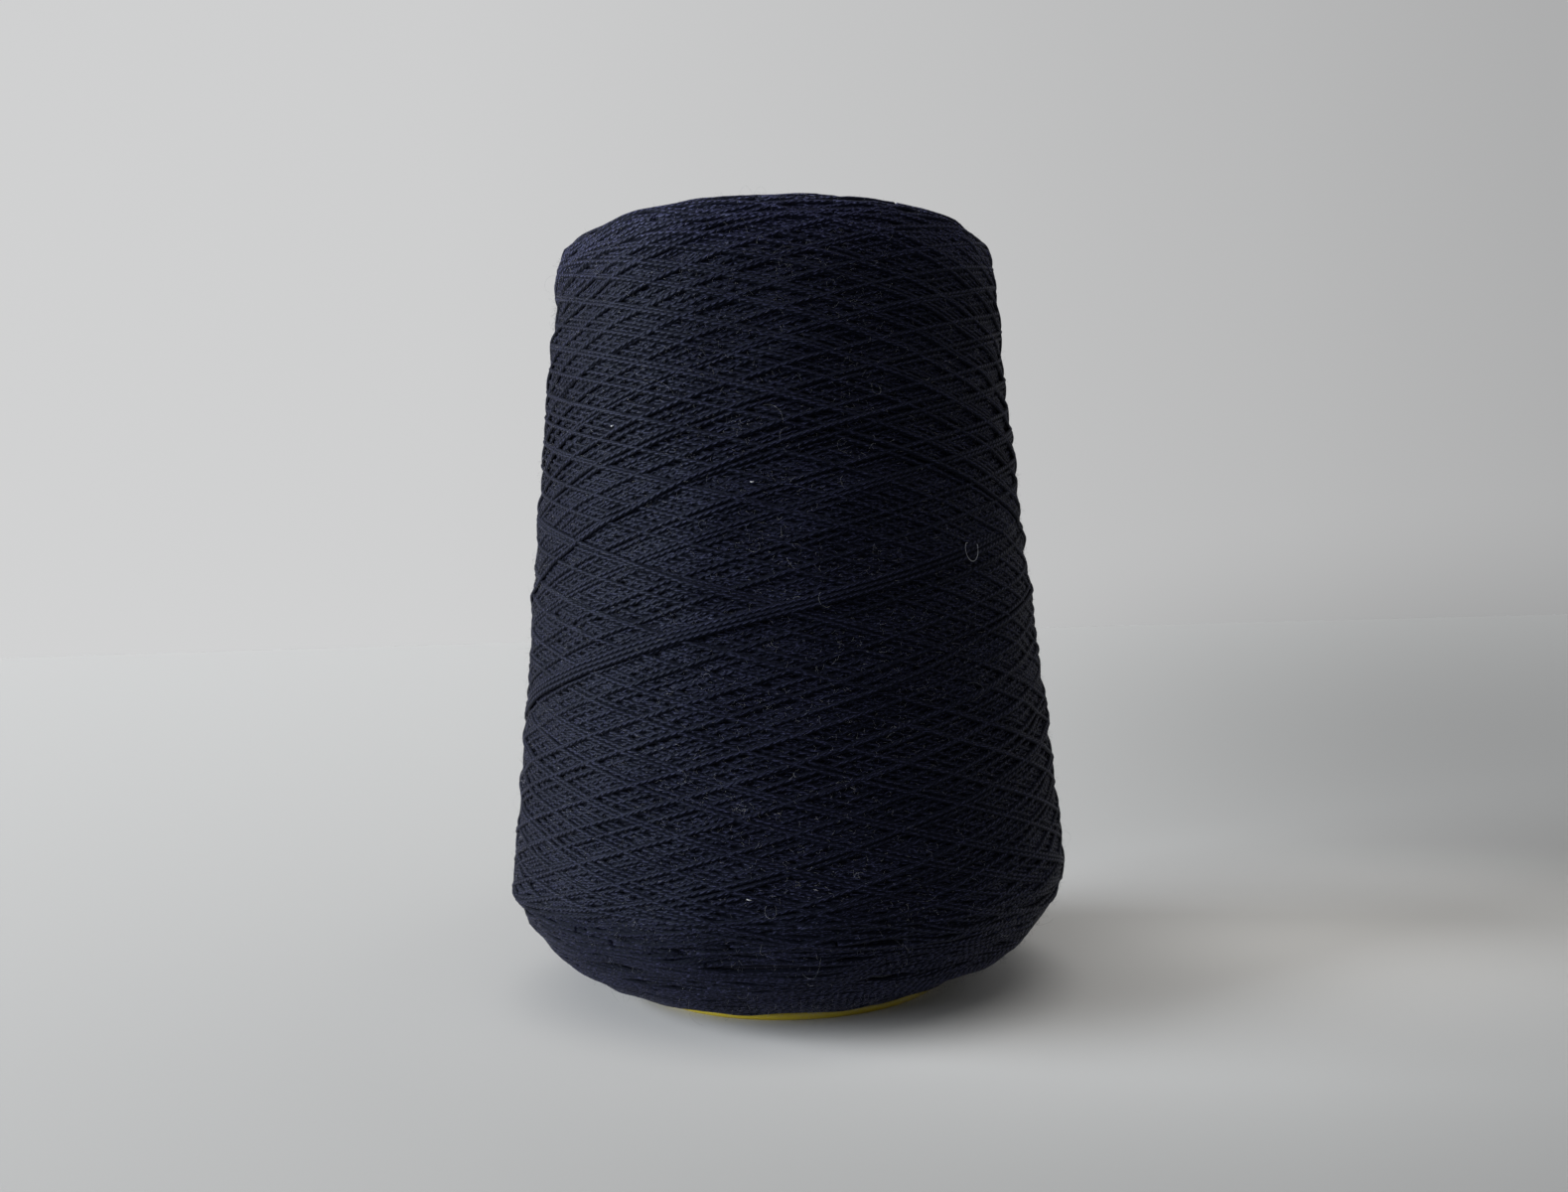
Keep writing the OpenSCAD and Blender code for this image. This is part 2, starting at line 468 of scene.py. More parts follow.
@dataclass(frozen=True)
class PaleSurround:
    """The tones of the pale paper and of the room behind it, by the direction from the eye, with painted
    light falloff across them and a painted shadow to the right.
    """

    # Painted light falloff: paler at the left, where the window light comes from, and darker to the right.
    painted_falloff_tones: tuple[tuple[float, float], ...] = (
        (0.0, 0.648),
        (0.256, 0.630),
        (0.652, 0.545),
        (0.852, 0.490),
        (1.0, 0.430),
    )
    tint: Numbers = (0.995, 1.0, 1.005)
    widest: float = 0.533
    least_level: float = 0.02
    fading_up: float = 0.05
    fading_down: float = 0.62
    # Painted shadow: a soft dark patch to the right and far behind, standing in for the object's long
    # shadow.
    painted_shadow_way: Numbers = (0.49, 0.87, -0.25)
    painted_shadow_flattening: Numbers = (1.0, 1.0, 3.0)
    painted_shadow_reach: float = 0.50
    painted_shadow_depth: float = 0.28

    def colour(self, kit: NodeKit, way: Value, brightness: float) -> Value:
        """The colour in a direction.

        Args:
            way: The direction from the eye.
            brightness: What the tones are multiplied by.

        Returns:
            The colour.
        """
        way = kit.vector("NORMALIZE", way)
        right, ahead, high = kit.axes(way)
        level = (right * right + ahead * ahead).root().larger(self.least_level)
        share = (right / level * (0.5 / self.widest) + 0.5).clamped()
        stops = [(at, [tone * brightness * part for part in self.tint]) for at, tone in self.painted_falloff_tones]
        colour = kit.add("ShaderNodeValToRGB", {"stops": stops}, {"Fac": share})
        # Painted shadow, darkening the paper and backdrop in directions towards the right and far back.
        flat = kit.vector("MULTIPLY", way, self.painted_shadow_flattening)
        painted_shadow = soft_spot(kit.vector("DISTANCE", flat, self.painted_shadow_way), self.painted_shadow_reach) * self.painted_shadow_depth
        upward, downward = high.clamped(), (high * -1.0).clamped()
        fading = (1.0 - upward * self.fading_up) * (1.0 - downward * self.fading_down)
        return kit.dimmed(colour, fading * (1.0 - painted_shadow))


@dataclass(frozen=True)
class FloorFinish:
    """Pale seamless paper, with painted light spots that lighten the object's cast and contact shadows
    round it: spots by centre, reach and strength.
    """

    surround: PaleSurround = PaleSurround()
    brightness: float = 0.853
    painted_light_spots: tuple[tuple[Numbers, float, float], ...] = (
        ((0.17, 0.01, 0.0), 0.20, 0.22),
        ((0.20, 0.025, 0.0), 0.13, 0.40),
        ((0.115, 0.010, 0.0), 0.08, 0.30),
        ((0.045, 0.01, 0.0), 0.15, 0.35),
        ((0.01, 0.0, 0.0), 0.078, 0.42),
    )
    tint: Numbers = (1.0, 1.0, 0.99)

    def material(self) -> bpy.types.Material:
        """Builds the floor's material on Object coordinates.

        Returns:
            The material.
        """
        material, kit = new_material("pale_paper")
        place = kit.add("ShaderNodeTexCoord", output="Object")
        colour = self.surround.colour(kit, kit.vector("SUBTRACT", place, EYE), self.brightness)
        level = 1.0
        # Painted light: each spot makes the paper paler, to lift the object's shadow there.
        for centre, reach, strength in self.painted_light_spots:
            away = kit.vector("DISTANCE", place, centre)
            level = (soft_spot(away, reach) * strength + 1.0) * level
        colour = kit.mix(1.0, kit.dimmed(colour, level), self.tint, "MULTIPLY")
        kit.surface({"Base Color": colour, "Roughness": 0.75, "Specular IOR Level": 0.2})
        return material


# ---- Geometry of the winding ----


def running_length(points: Array) -> Array:
    """Length along a line of points, up to each of them."""
    return np.concatenate([[0.0], np.cumsum(np.linalg.norm(np.diff(points, axis=0), axis=1))])


def bell(reach: int) -> Array:
    """Weights that add up to 1 over a number of places to each side of the middle."""
    kernel = np.hanning(2 * reach + 3)[1:-1]
    return kernel / kernel.sum()


@dataclass
class Meridian:
    """The wound body's outline from its foot round the belly, up the side and into the dish."""

    belly_radius: float
    belly_height: float
    foot_radius: float
    foot_height: float
    crest_height: float
    dish_radius: float
    dish_height: float
    crest_radius: float = 27.0 * MM
    half_angle: float = math.radians(5.17)
    shoulder_drop: float = 6.9 * MM
    base_bow: float = 1.5
    nose_fullness: float = 1.70
    arc_points: int = 60
    side_points: int = 80
    dish_points: int = 25
    rounding: int = 4
    step: float = 0.5 * MM
    run: Array = field(init=False)
    points: Array = field(init=False)
    normals: Array = field(init=False)

    def __post_init__(self) -> None:
        """Works out evenly spaced points, their running length and their outward normals."""
        outline = np.vstack([self._base(), self._side(), self._nose(), self._dish()])
        outline = self._rounded(self._even(outline))
        tangents = np.gradient(outline, axis=0)
        tangents /= np.linalg.norm(tangents, axis=1)[:, None]
        self.points = outline
        self.normals = np.stack([tangents[:, 1], -tangents[:, 0]], axis=1)
        self.run = running_length(outline)

    @property
    def length(self) -> float:
        """Length of the outline."""
        return float(self.run[-1])

    @property
    def shoulder_height(self) -> float:
        """Height at which the side ends and the nose shoulder starts."""
        return self.crest_height - self.shoulder_drop

    @property
    def shoulder_radius(self) -> float:
        """Radius at which the side ends."""
        rise = self.shoulder_height - self.belly_height
        return self.belly_radius - rise * math.tan(self.half_angle)

    def _base(self) -> Array:
        """Outline of the base shoulder.

        Returns:
            Radius and height of its points, one row each.
        """
        a = np.linspace(0, math.pi / 2, self.arc_points)
        radius = self.foot_radius + (self.belly_radius - self.foot_radius) * np.sin(a)
        drop = (self.foot_height - self.belly_height) * np.abs(np.cos(a)) ** self.base_bow
        return np.stack([radius, self.belly_height + drop], axis=1)

    def _side(self) -> Array:
        """Outline of the straight side.

        Returns:
            Radius and height of its points, one row each.
        """
        z = np.linspace(self.belly_height, self.shoulder_height, self.side_points)[1:-1]
        narrowing = (z - self.belly_height) * math.tan(self.half_angle)
        return np.stack([self.belly_radius - narrowing, z], axis=1)

    def _nose(self) -> Array:
        """Outline of the nose shoulder up to the crest.

        Returns:
            Radius and height of its points, one row each.
        """
        a = np.linspace(math.pi / 2, 0, self.arc_points)
        width = self.shoulder_radius - self.crest_radius
        radius = self.crest_radius + width * np.sin(a) ** self.nose_fullness
        rise = self.shoulder_drop * np.abs(np.cos(a)) ** self.nose_fullness
        return np.stack([radius, self.shoulder_height + rise], axis=1)

    def _dish(self) -> Array:
        """Outline of the dish from the crest down to the cone's nose.

        Returns:
            Radius and height of its points, one row each.
        """
        a = np.linspace(math.pi / 2, math.pi, self.dish_points)[1:]
        radius = self.crest_radius + (self.crest_radius - self.dish_radius) * np.cos(a)
        rise = (self.crest_height - self.dish_height) * np.sin(a)
        return np.stack([radius, self.dish_height + rise], axis=1)

    def _even(self, outline: Array) -> Array:
        """The outline with points one step apart.

        Args:
            outline: Radius and height of its points.

        Returns:
            The evenly spaced points.
        """
        run = running_length(outline)
        places = np.linspace(0, run[-1], int(run[-1] / self.step))
        return np.stack([np.interp(places, run, outline[:, k]) for k in (0, 1)], axis=1)

    def _rounded(self, outline: Array) -> Array:
        """The outline with its corners eased over a few points.

        Args:
            outline: Radius and height of its points.

        Returns:
            The eased points.
        """
        kernel = bell(self.rounding)
        reach = len(kernel)
        start = 2 * outline[0] - outline[reach:0:-1]
        end = 2 * outline[-1] - outline[-2:-reach - 2:-1]
        padded = np.vstack([start, outline, end])
        return np.stack([np.convolve(padded[:, k], kernel, "same")[reach:-reach] for k in (0, 1)], axis=1)

    def radius(self, s: Array) -> Array:
        """Radius at a running length."""
        return np.interp(s, self.run, self.points[:, 0])

    def place(self, phi: Array, s: Array, height: Array) -> Array:
        """Points at an angle and a running length, a height above the outline.

        Args:
            phi: Angles round the axis.
            s: Running lengths along the outline.
            height: Distances out from the outline.

        Returns:
            The points, one row each.
        """
        radius, z = self.radius(s), np.interp(s, self.run, self.points[:, 1])
        foot = np.stack([radius * np.cos(phi), radius * np.sin(phi), z], axis=1)
        return foot + self.normal(phi, s) * height[:, None]

    def normal(self, phi: Array, s: Array) -> Array:
        """Outward normals at an angle and a running length."""
        across, up = (np.interp(s, self.run, self.normals[:, k]) for k in (0, 1))
        return np.stack([across * np.cos(phi), across * np.sin(phi), up], axis=1)

    def directions(self, phi: Array, s: Array) -> tuple[Array, Array, Array]:
        """Directions at a place: outwards, level round the axis, and square to both.

        Args:
            phi: Angles round the axis.
            s: Running lengths along the outline.

        Returns:
            The three directions, with one row each for every place.
        """
        out = self.normal(phi, s)
        level = np.stack([-np.sin(phi), np.cos(phi), 0 * phi], axis=1)
        return out, level, np.cross(out, level)

    def run_at_height(self, z: float) -> float:
        """Running length at which the side first reaches a height."""
        return float(self.run[int(np.argmax(self.points[:, 1] >= z))])


class StrokeKind(Enum):
    """Where a stroke of yarn lies: its pieces' name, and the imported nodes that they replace."""

    END = ("end_turns", ())
    SIDE = ("crossing_yarn", ("outer_wraps",))
    STRAY = ("stray_yarn", ("outer_wraps",))


@dataclass
class Stroke:
    """One laid run of yarn: angle, running length and height of its centre at even steps."""

    phi: Array
    s: Array
    height: Array
    kind: StrokeKind
    lift: Array | float = 0.0


@dataclass
class Bed:
    """The height of what is wound so far, on a grid of angle and running length."""

    outline: Meridian
    cell: float = 0.42 * MM
    press: float = 0.75
    bridging_radius: float = 16.0 * MM
    columns: int = 920
    half_width: float = 0.95
    samples_across: int = 7
    level_reach: float = 6 * MM
    least_reach: int = 3
    level_rows: int = 2
    top: Array = field(init=False)
    owner: Array = field(init=False)

    def __post_init__(self) -> None:
        """Starts with a bare bed."""
        rows = int(self.outline.length / self.cell) + 1
        self.top = np.zeros((self.columns, rows))
        self.owner = np.full((self.columns, rows), -1)

    def cells(self, phi: Array, s: Array) -> tuple[Array, Array]:
        """Grid places of angles and running lengths.

        Args:
            phi: Angles round the axis.
            s: Running lengths along the outline.

        Returns:
            Columns and rows of the grid.
        """
        column = np.floor(phi / TURN * self.columns).astype(int) % self.columns
        row = np.rint(s / self.outline.length * (self.top.shape[1] - 1)).astype(int)
        return column, np.clip(row, 0, self.top.shape[1] - 1)

    def footprint(self, phi: Array, s: Array) -> tuple[Array, Array, Array]:
        """Grid places under a run of yarn, and the height of its skin over its centre there.

        Args:
            phi: Angles of the run.
            s: Running lengths of the run.

        Returns:
            Columns and rows under each sample, and the skin's height across the yarn.
        """
        radius = self.outline.radius(s)
        round_way, up_way = np.gradient(phi) * radius, np.gradient(s)
        size = np.hypot(round_way, up_way)
        across = np.linspace(-self.half_width, self.half_width, self.samples_across) * YARN_RADIUS
        phis = phi[:, None] - (up_way / size / radius)[:, None] * across
        columns, rows = self.cells(phis, s[:, None] + (round_way / size)[:, None] * across)
        return columns, rows, np.sqrt(YARN_RADIUS ** 2 - across ** 2)

    def lay(self, phi: Array, s: Array, step: float, number: int) -> Array:
        """Lays a run of yarn on the bed and raises the bed under it.

        The yarn is pulled tight, so it bridges what lies lower between two places that
        carry it, as far as its curve round the package allows, and it presses in a little.

        Args:
            phi: Angles of the run.
            s: Running lengths of the run.
            step: Distance between samples.
            number: The run's number, left where it is now the topmost yarn.

        Returns:
            The height of the yarn's centre at each sample.
        """
        columns, rows, skin = self.footprint(phi, s)
        carried = (self.top[columns, rows] + skin).max(axis=1) - self.press * YARN_RADIUS
        carried = np.maximum(carried, YARN_RADIUS)
        height = self._pulled_tight(np.arange(len(phi)) * step, carried)
        raised = height[:, None] + skin
        above = raised > self.top[columns, rows]
        above[:, [0, -1]] = False
        self.owner[columns[above], rows[above]] = number
        np.maximum.at(self.top, (columns, rows), raised)
        return height

    def _pulled_tight(self, length: Array, carried: Array) -> Array:
        """The lowest line over what carries the yarn that bends outwards no faster than a taut line.

        Args:
            length: Length along the yarn at each sample.
            carried: Height at which what lies below would carry it.

        Returns:
            The height of the yarn's centre at each sample.
        """
        bow = length ** 2 / (2 * self.bridging_radius)
        level = carried - bow
        hull = [0]
        for i in range(1, len(level)):
            while len(hull) > 1:
                a, b = hull[-2], hull[-1]
                rise_b = (level[b] - level[a]) * (length[i] - length[a])
                rise_i = (level[i] - level[a]) * (length[b] - length[a])
                if rise_b > rise_i:
                    break
                hull.pop()
            hull.append(i)
        return np.interp(length, length[hull], level[hull]) + bow

    def level(self) -> Array:
        """The bed's height averaged round each turn and then over a neighbourhood.

        Returns:
            The averaged height on the same grid.
        """
        cells = max(self.least_reach, int(self.level_reach / self.cell))
        kernel = bell(cells)
        window = 2 * self.level_rows + 1
        rows = np.pad(self.top.mean(axis=0), self.level_rows, mode="edge")
        rows = np.convolve(rows, np.full(window, 1 / window), "valid")
        uneven = np.pad(self.top - rows, ((cells, cells), (0, 0)), mode="wrap")
        uneven = np.apply_along_axis(np.convolve, 0, uneven, kernel, "valid")
        uneven = np.pad(uneven, ((0, 0), (cells, cells)), mode="reflect")
        return rows + np.apply_along_axis(np.convolve, 1, uneven, kernel, "valid")


@dataclass(frozen=True)
class Pattern:
    """One stretch of winding with a fixed ratio of turns to strokes."""

    double_strokes: int
    cycle: int
    creep: float = 1.0


class Way(Enum):
    """Which way a stroke runs as it goes round."""

    RISING = 1
    FALLING = -1


@dataclass(frozen=True)
class Stray:
    """A late stroke off the pattern, by angles in degrees and heights in millimetres on its way."""

    way: Way
    places: tuple[tuple[float, float], ...]
    strands: int = 1


@dataclass(frozen=True)
class Lean:
    """A height at which the wound body stands out to the right, and how much it does all round."""

    height: float
    rightward: float
    all_round: float = 0.0
    reach: float = 16 * MM


@dataclass
class Winding:
    """The winder: lays end turns and crossing strokes in the order in which yarn is wound."""

    outline: Meridian
    wind_angle: float = math.radians(16.0)
    step: float = 0.40 * MM
    seed: int = 11
    belly_apex: float = 17.0 * MM
    nose_apex_drop: float = 4.5 * MM
    eases: Numbers = (5.0 * MM, 15.0 * MM)
    end_turns_per_mm: float = 11.0
    end_half_lengths: Numbers = (34, 62)
    end_eases: Numbers = (7, 14)
    end_climb: float = 0.85
    end_climb_spread: float = 0.03
    end_overlap: float = 12 * MM
    end_scatter: float = 0.4 * MM
    fewest_samples: int = 30
    patterns: tuple[Pattern, ...] = (
        Pattern(80, 19),
        Pattern(70, 14, -1.0),
        Pattern(84, 21),
        Pattern(72, 23, -1.0),
        Pattern(80, 26),
        Pattern(66, 17, -1.0),
    )
    pattern_gap: float = 3
    slip: float = 0.13
    wander: float = 0.35
    drift_kept: float = 0.7
    drift_spread: float = 0.7
    strays: tuple[Stray, ...] = (
        Stray(Way.FALLING, ((-127.4, 96.6), (-106.8, 88.5))),
        Stray(Way.FALLING, ((-44.1, 109.5), (-33.8, 106.2), (-24.1, 103.5), (-11.4, 99.7))),
        Stray(Way.RISING, ((-63.1, 70.9), (-51.4, 76.2), (-42.3, 79.6), (-32.2, 82.8), (-13.3, 87.0))),
        Stray(Way.RISING, ((-155.9, 92.5), (-141.1, 97.8), (-127.8, 102), (-117.5, 106.4), (-91, 116))),
        Stray(Way.RISING, ((-159.3, 67.6), (-117.3, 79.1), (-98.7, 83.0), (-83.3, 86.2)), 3),
    )
    stray_lift: float = 0.35 * MM
    stray_dive: float = 1.2 * MM
    stray_dive_start: float = 0.2
    stray_tail: float = 22 * MM
    stray_blend: float = 8 * MM
    keep_depth: float = 3.0 * MM
    seen_margin: float = 2.0 * MM
    run_on: int = 4
    surface_lift: float = -0.45 * MM
    give: float = 0.42 * MM
    packing: float = 0.5
    sink: float = 0.16
    swells: int = 30
    swell_length: float = 11 * MM
    swell_height: float = 0.34 * MM
    most_rounds: int = 16
    leans: tuple[Lean, ...] = (
        Lean(5.0 * MM, -1.1 * MM, -0.7 * MM, 13 * MM),
        Lean(17 * MM, -0.3 * MM, 0.15 * MM),
        Lean(154 * MM, 0.7 * MM),
        Lean(170 * MM, -1.9 * MM, -0.3 * MM, 14 * MM),
    )
    random: np.random.Generator = field(init=False)
    low: float = field(init=False)
    high: float = field(init=False)
    bed: Bed = field(init=False)
    strokes: list[Stroke] = field(init=False, default_factory=list)

    def __post_init__(self) -> None:
        """Winds the package, with low and high as the guide's two apexes."""
        self.random = np.random.default_rng(self.seed)
        self.bed = Bed(self.outline)
        self.low = self.outline.run_at_height(self.belly_apex)
        self.high = self.outline.run_at_height(self.outline.crest_height - self.nose_apex_drop)
        self._wind_ends()
        self._wind_side()

    def _add(self, phi: Array, s: Array, kind: StrokeKind, lift: Array | float = 0.0) -> None:
        """Lays one run and keeps it."""
        height = self.bed.lay(phi, s, self.step, len(self.strokes))
        self.strokes.append(Stroke(phi, s, height, kind, lift))

    def _end_turn(self, turn_at: float, way: int) -> None:
        """Lays one turn-back on an end face, nearly level where it turns.

        Args:
            turn_at: Running length at which it turns back.
            way: 1 where it turns back upwards, and -1 where downwards.
        """
        draw = self.random
        half = draw.uniform(*self.end_half_lengths) * MM
        ease = draw.uniform(*self.end_eases) * MM
        climb = math.sin(draw.normal(self.wind_angle * self.end_climb, self.end_climb_spread))
        length = np.arange(-half, half, self.step)
        away = np.log(2 * np.cosh(length * climb / ease)) * ease - math.log(2) * ease
        s = turn_at + way * away
        s = s[(s > 0) & (s < self.outline.length)]
        if len(s) > self.fewest_samples:
            slope = np.gradient(s) / self.step
            phi = np.cumsum(np.sqrt(1 - slope ** 2) / self.outline.radius(s)) * self.step
            self._add(draw.uniform(0, TURN) + phi, s, StrokeKind.END)

    def _wind_ends(self) -> None:
        """Lays the turns that show on the base shoulder, the nose shoulder and the dish."""
        spacing = MM / self.end_turns_per_mm
        top = self.outline.length
        base_reach, nose_reach = self.low + self.end_overlap, self.high - self.end_overlap
        turns = [(s / base_reach, s, 1) for s in np.arange(spacing, base_reach, spacing)]
        for s in np.arange(top - spacing, nose_reach, -spacing):
            turns.append(((top - s) / (top - nose_reach), s, -1))
        for _, s, way in sorted(turns):
            self._end_turn(s + self.random.normal(0, self.end_scatter), way)

    def _guide_line(self) -> tuple[Array, Array]:
        """The yarn guide's path from one apex to the other, and the angle covered on it.

        Returns:
            Running lengths on the path, and the angle at each.
        """
        s = np.arange(self.low, self.high, self.step * math.sin(self.wind_angle))
        angle = np.cumsum((s[1] - s[0]) / math.tan(self.wind_angle) / self.outline.radius(s))
        return s, angle

    def _eased(self, s: Array, low_ease: float, high_ease: float) -> Array:
        """The guide's path with its turn-backs rounded, as slack yarn rounds them.

        Args:
            s: The guide's path.
            low_ease: Length over which the lower turn-back is rounded.
            high_ease: The same at the upper one.

        Returns:
            The running lengths that the yarn follows.
        """
        up, down = (s - self.low) / low_ease, (self.high - s) / high_ease
        lifted = np.log1p(np.exp(-2 * up)) * low_ease
        return s + lifted - np.log1p(np.exp(-2 * down)) * high_ease

    def _wind_side(self) -> None:
        """Lays the crossing strokes, each pair turned on from the last by the winder's pattern."""
        draw = self.random
        line, angle = self._guide_line()
        back = angle[-1] + (angle[-1] - angle)[::-1]
        natural = 2 * angle[-1]
        middle = self.outline.radius(np.array([(self.low + self.high) / 2]))[0]
        pitch = 2 * YARN_RADIUS / math.sin(self.wind_angle) / middle
        phi, low_ease, drift = draw.uniform(0, TURN), self._ease(), 0.0
        for pattern in self.patterns:
            share = round(natural / TURN * pattern.cycle)
            while math.gcd(share, pattern.cycle) > 1:
                share += 1
            wanted = TURN * share / pattern.cycle + pattern.creep * pitch / pattern.cycle
            stretch = wanted / natural
            for _ in range(pattern.double_strokes):
                drift = self.drift_kept * drift + draw.normal(0, self.drift_spread) * self.wander * pitch
                slip = drift + draw.normal(0, self.slip) * pitch
                high_ease, next_low = self._ease(), self._ease()
                rising = self._eased(line, low_ease, high_ease)
                falling = self._eased(line, next_low, high_ease)[::-1]
                self._add(phi + slip + angle * stretch, rising, StrokeKind.SIDE)
                slip = drift + draw.normal(0, self.slip) * pitch
                self._add(phi + slip + back * stretch, falling, StrokeKind.SIDE)
                phi += wanted
                low_ease = next_low
            phi += draw.uniform(-self.pattern_gap, self.pattern_gap) * pitch
            self._pack_down()
        for stray in self.strays:
            self._add_stray(stray, line, angle)

    def _add_stray(self, stray: Stray, line: Array, angle: Array) -> None:
        """Lays a stroke that passes through a stray's places.

        Args:
            stray: The stroke to lay.
            line: The guide's path.
            angle: The angle covered on it.
        """
        places = sorted(stray.places, key=lambda place: place[1])
        wanted = np.radians([place[0] for place in places])
        runs = np.array([self.outline.run_at_height(place[1] * MM) for place in places])
        turned = angle * stray.way.value
        offset = np.interp(line, runs, wanted - np.interp(runs, line, turned))
        reach = int(self.stray_blend / (line[1] - line[0]))
        kernel = np.hanning(2 * reach + 1)
        offset = np.convolve(np.pad(offset, reach, mode="edge"), kernel / kernel.sum(), "valid")
        path = self._eased(line, self._ease(), self._ease())
        beside = 2 * YARN_RADIUS / math.sin(self.wind_angle) / self.outline.radius(path)
        order = slice(None, None, stray.way.value)
        beyond = np.maximum(runs.min() - line, line - runs.max()) / self.stray_tail
        lift = np.interp(beyond, [self.stray_dive_start, 1.0], [self.stray_lift, -self.stray_dive])
        shown = beyond < 1
        for number in range(stray.strands):
            phi = turned + offset + number * beside
            self._add(phi[shown][order], path[shown][order], StrokeKind.STRAY, lift[shown][order])

    def _pack_down(self) -> None:
        """Presses the bed and all that lies in it towards its local level, as later turns do."""
        level = self.bed.level()
        for stroke in self.strokes:
            local = level[self.bed.cells(stroke.phi, stroke.s)]
            stroke.height = local + (stroke.height - local) * self.packing
        self.bed.top = level + (self.bed.top - level) * self.packing

    def _ease(self) -> float:
        """How gently the next turn-back is rounded."""
        return self.random.uniform(*self.eases)

    def settled(self) -> list[Stroke]:
        """The strokes packed down to an even surface, without what lies too deep to be seen.

        Returns:
            Runs whose height is measured from the outline.
        """
        level = self.bed.level()
        runs = []
        for number, stroke in enumerate(self.strokes):
            height = stroke.height - level[self.bed.cells(stroke.phi, stroke.s)] + YARN_RADIUS
            height = np.where(height > 0, self.give * np.tanh(height / self.give), height * self.sink)
            height += stroke.lift + self.surface_lift + self.unevenness(stroke.phi, stroke.s)
            seen = self._seen(number, stroke) & (height > -self.keep_depth)
            for start, end in spans(seen):
                part = slice(max(0, start - self.run_on), end + self.run_on)
                runs.append(Stroke(stroke.phi[part], stroke.s[part], height[part], stroke.kind))
        return runs

    def unevenness(self, phi: Array, s: Array) -> Array:
        """Slow swells of the wound surface, the same for all strokes at one place.

        Args:
            phi: Angles round the axis.
            s: Running lengths along the outline.

        Returns:
            How far the surface stands out at each place.
        """
        draw = np.random.default_rng(self.seed + 1)
        total = np.zeros(len(phi))
        for _ in range(self.swells):
            rounds = draw.integers(0, self.most_rounds)
            along = draw.normal(0, 1 / self.swell_length)
            total += np.cos(rounds * phi + TURN * along * s + draw.uniform(0, TURN))
        total *= self.swell_height / math.sqrt(self.swells)
        for lean in self.leans:
            away = (s - self.outline.run_at_height(lean.height)) / lean.reach
            near = np.cos(np.clip(away, -1, 1) * math.pi) * 0.5 + 0.5
            total += near * (np.cos(phi) * lean.rightward + lean.all_round)
        return total

    def _seen(self, number: int, stroke: Stroke) -> Array:
        """Whether each sample of a stroke is the topmost yarn there, or close to where it is.

        Args:
            number: The stroke's number.
            stroke: The stroke.

        Returns:
            A flag for each sample.
        """
        columns, rows, _ = self.bed.footprint(stroke.phi, stroke.s)
        seen = (self.bed.owner[columns, rows] == number).any(axis=1)
        reach = int(self.seen_margin / self.step)
        return np.convolve(seen, np.ones(2 * reach + 1), "same") > 0


def spans(flags: Array, shortest: int = 6) -> list[tuple[int, int]]:
    """Stretches of true flags.

    Args:
        flags: One flag per sample.
        shortest: Stretches with fewer samples are left out.

    Returns:
        The start and end of each stretch.
    """
    edges = np.flatnonzero(np.diff(np.concatenate([[0], flags.astype(np.int8), [0]])))
    return [(a, b) for a, b in zip(edges[::2], edges[1::2]) if b - a >= shortest]


# ---- Meshes ----


